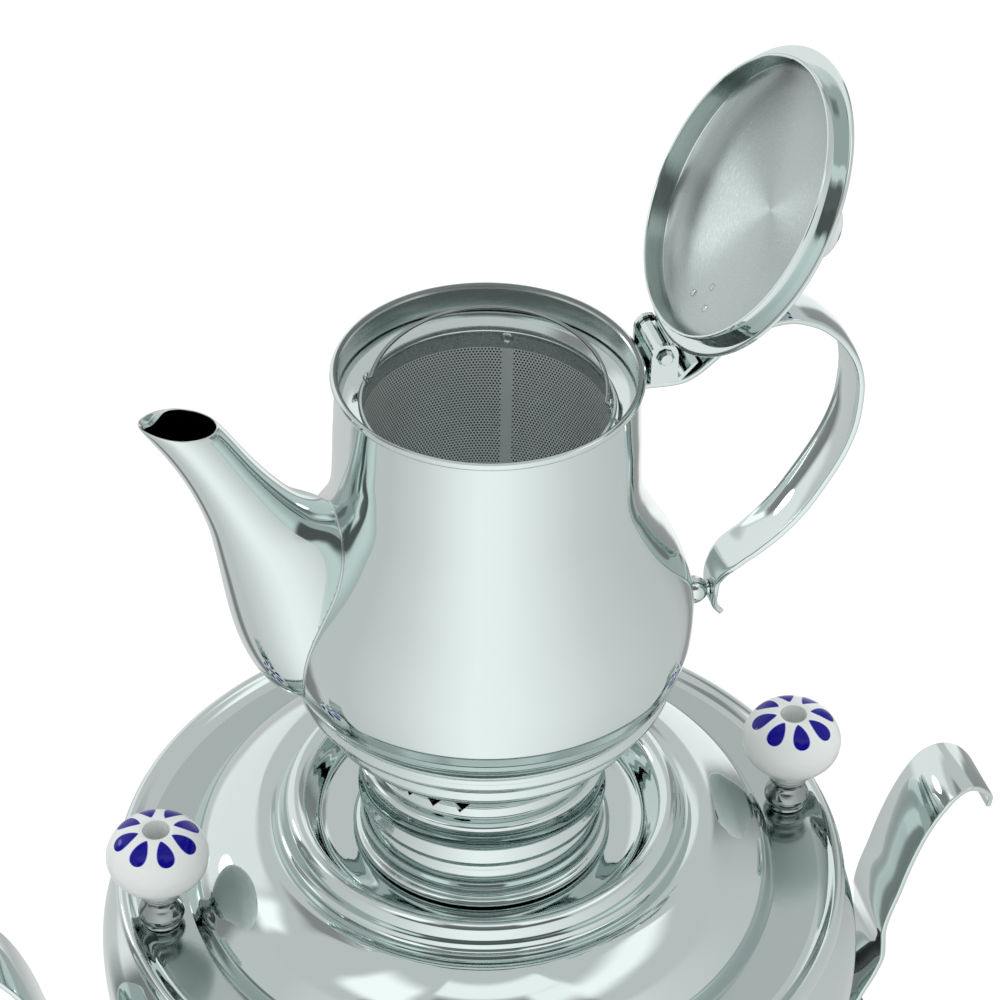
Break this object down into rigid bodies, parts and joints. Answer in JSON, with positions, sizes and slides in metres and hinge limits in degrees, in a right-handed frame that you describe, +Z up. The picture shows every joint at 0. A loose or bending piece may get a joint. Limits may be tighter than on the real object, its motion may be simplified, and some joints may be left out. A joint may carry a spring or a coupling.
{
  "type": "electric samovar",
  "caption": "Polished steel electric samovar with a drip tap, side handles, lift-off lid, gallery crown and a spouted teapot whose hinged lid stands open over a mesh tea infuser.",
  "frame": {"origin": "on the samovar's upright axis, on the raised middle of the bottom cover's underside; the rubber feet reach 3 mm below it", "axes": "+Z up along the axis; the tap looks along -Y; the teapot's spout points along -X, its handle and lid hinge along +X"},
  "size_m": [0.3442, 0.2797, 0.5327],
  "materials": {
    "polished_steel": "mirror-polished stainless steel",
    "black_plastic": "satin black",
    "grip_plastic": "satin dark grey",
    "plated_brass": "chrome-plated brass",
    "heater_sheath": "dull heater tube",
    "brushed_steel": "circularly brushed stainless steel",
    "porcelain": "opaque white glazed porcelain, blue petals painted on the lid knobs",
    "lamp_lens": "orange-red lens",
    "rubber": "matt black"
  },
  "bodies": {
    "samovar_body": {"base_housing": "polished_steel", "boil_dry_cutout": "black_plastic", "bottom_cover": "black_plastic", "handle_arm_left": "polished_steel", "handle_arm_right": "polished_steel", "handle_grip_left": "grip_plastic", "handle_grip_right": "grip_plastic", "handle_leaf_left": "polished_steel", "handle_leaf_right": "polished_steel", "heater_nut_1": "plated_brass", "heater_nut_2": "plated_brass", "heating_element": "heater_sheath", "pedestal": "polished_steel", "power_inlet": "black_plastic", "power_lamp": "lamp_lens", "rubber_foot_1": "rubber", "rubber_foot_2": "rubber", "rubber_foot_3": "rubber", "rubber_foot_4": "rubber", "tap_body": "plated_brass", "tap_nut": "plated_brass", "tap_rosette": "polished_steel", "tap_seal": "rubber", "thermostat": "black_plastic", "vessel": "polished_steel"},
    "control_dial": {"control_dial": "black_plastic", "control_shaft": "black_plastic"},
    "tap_key": {"tap_plug": "plated_brass", "tap_lever": "polished_steel", "tap_lever_knob": "porcelain", "tap_keeper_nut": "plated_brass"},
    "samovar_lid": {"samovar_lid": "polished_steel", "lid_locating_ring": "polished_steel", "lid_knob_left": "porcelain", "lid_knob_right": "porcelain", "lid_knob_ferrule_left": "polished_steel", "lid_knob_ferrule_right": "polished_steel", "lid_knob_screw_left": "polished_steel", "lid_knob_screw_right": "polished_steel", "lid_knob_nut_left": "plated_brass", "lid_knob_nut_right": "plated_brass"},
    "crown": {"crown_neck": "polished_steel", "crown_gallery": "polished_steel"},
    "teapot": {"teapot_body": "polished_steel", "teapot_spout": "polished_steel", "teapot_handle": "polished_steel", "handle_spacer": "polished_steel", "handle_rivet": "polished_steel", "hinge_bracket": "polished_steel", "hinge_pin": "polished_steel"},
    "teapot_lid": {"teapot_lid": "brushed_steel", "teapot_lid_ferrule": "polished_steel", "teapot_lid_knob": "porcelain", "teapot_lid_screw": "polished_steel", "lid_hinge_leaf": "polished_steel"},
    "infuser": {"infuser_basket": "brushed_steel", "infuser_rim": "polished_steel"},
    "infuser_bail": {"infuser_bail": "polished_steel"}
  },
  "joints": [
    {"name": "dial_turn", "type": "hinge", "parent": "samovar_body", "child": "control_dial", "pos_m": [0, -0.0856, 0.01903], "axis": [0, -1, 0], "range_deg": [0, 270]},
    {"name": "tap_turn", "type": "hinge", "parent": "samovar_body", "child": "tap_key", "pos_m": [0, -0.12754, 0.129], "axis": [0, 0, 1], "range_deg": [0, 90]},
    {"name": "samovar_lid_lift", "type": "slide", "parent": "samovar_body", "child": "samovar_lid", "axis": [0, 0, 1], "range_m": [0, 0.12]},
    {"name": "crown_lift", "type": "slide", "parent": "samovar_lid", "child": "crown", "axis": [0, 0, 1], "range_m": [0, 0.05]},
    {"name": "teapot_lift", "type": "slide", "parent": "crown", "child": "teapot", "axis": [0, 0, 1], "range_m": [0, 0.12]},
    {"name": "teapot_lid_hinge", "type": "hinge", "parent": "teapot", "child": "teapot_lid", "pos_m": [0.0494, 0, 0.4478], "axis": [0, 1, 0], "range_deg": [-120.4, 0]},
    {"name": "infuser_lift", "type": "slide", "parent": "teapot", "child": "infuser", "axis": [0, 0, 1], "range_m": [0, 0.09]},
    {"name": "bail_swing", "type": "hinge", "parent": "infuser", "child": "infuser_bail", "pos_m": [0, 0, 0.4392], "axis": [0.9033, -0.4289, 0], "range_deg": [0, 156]}
  ]
}
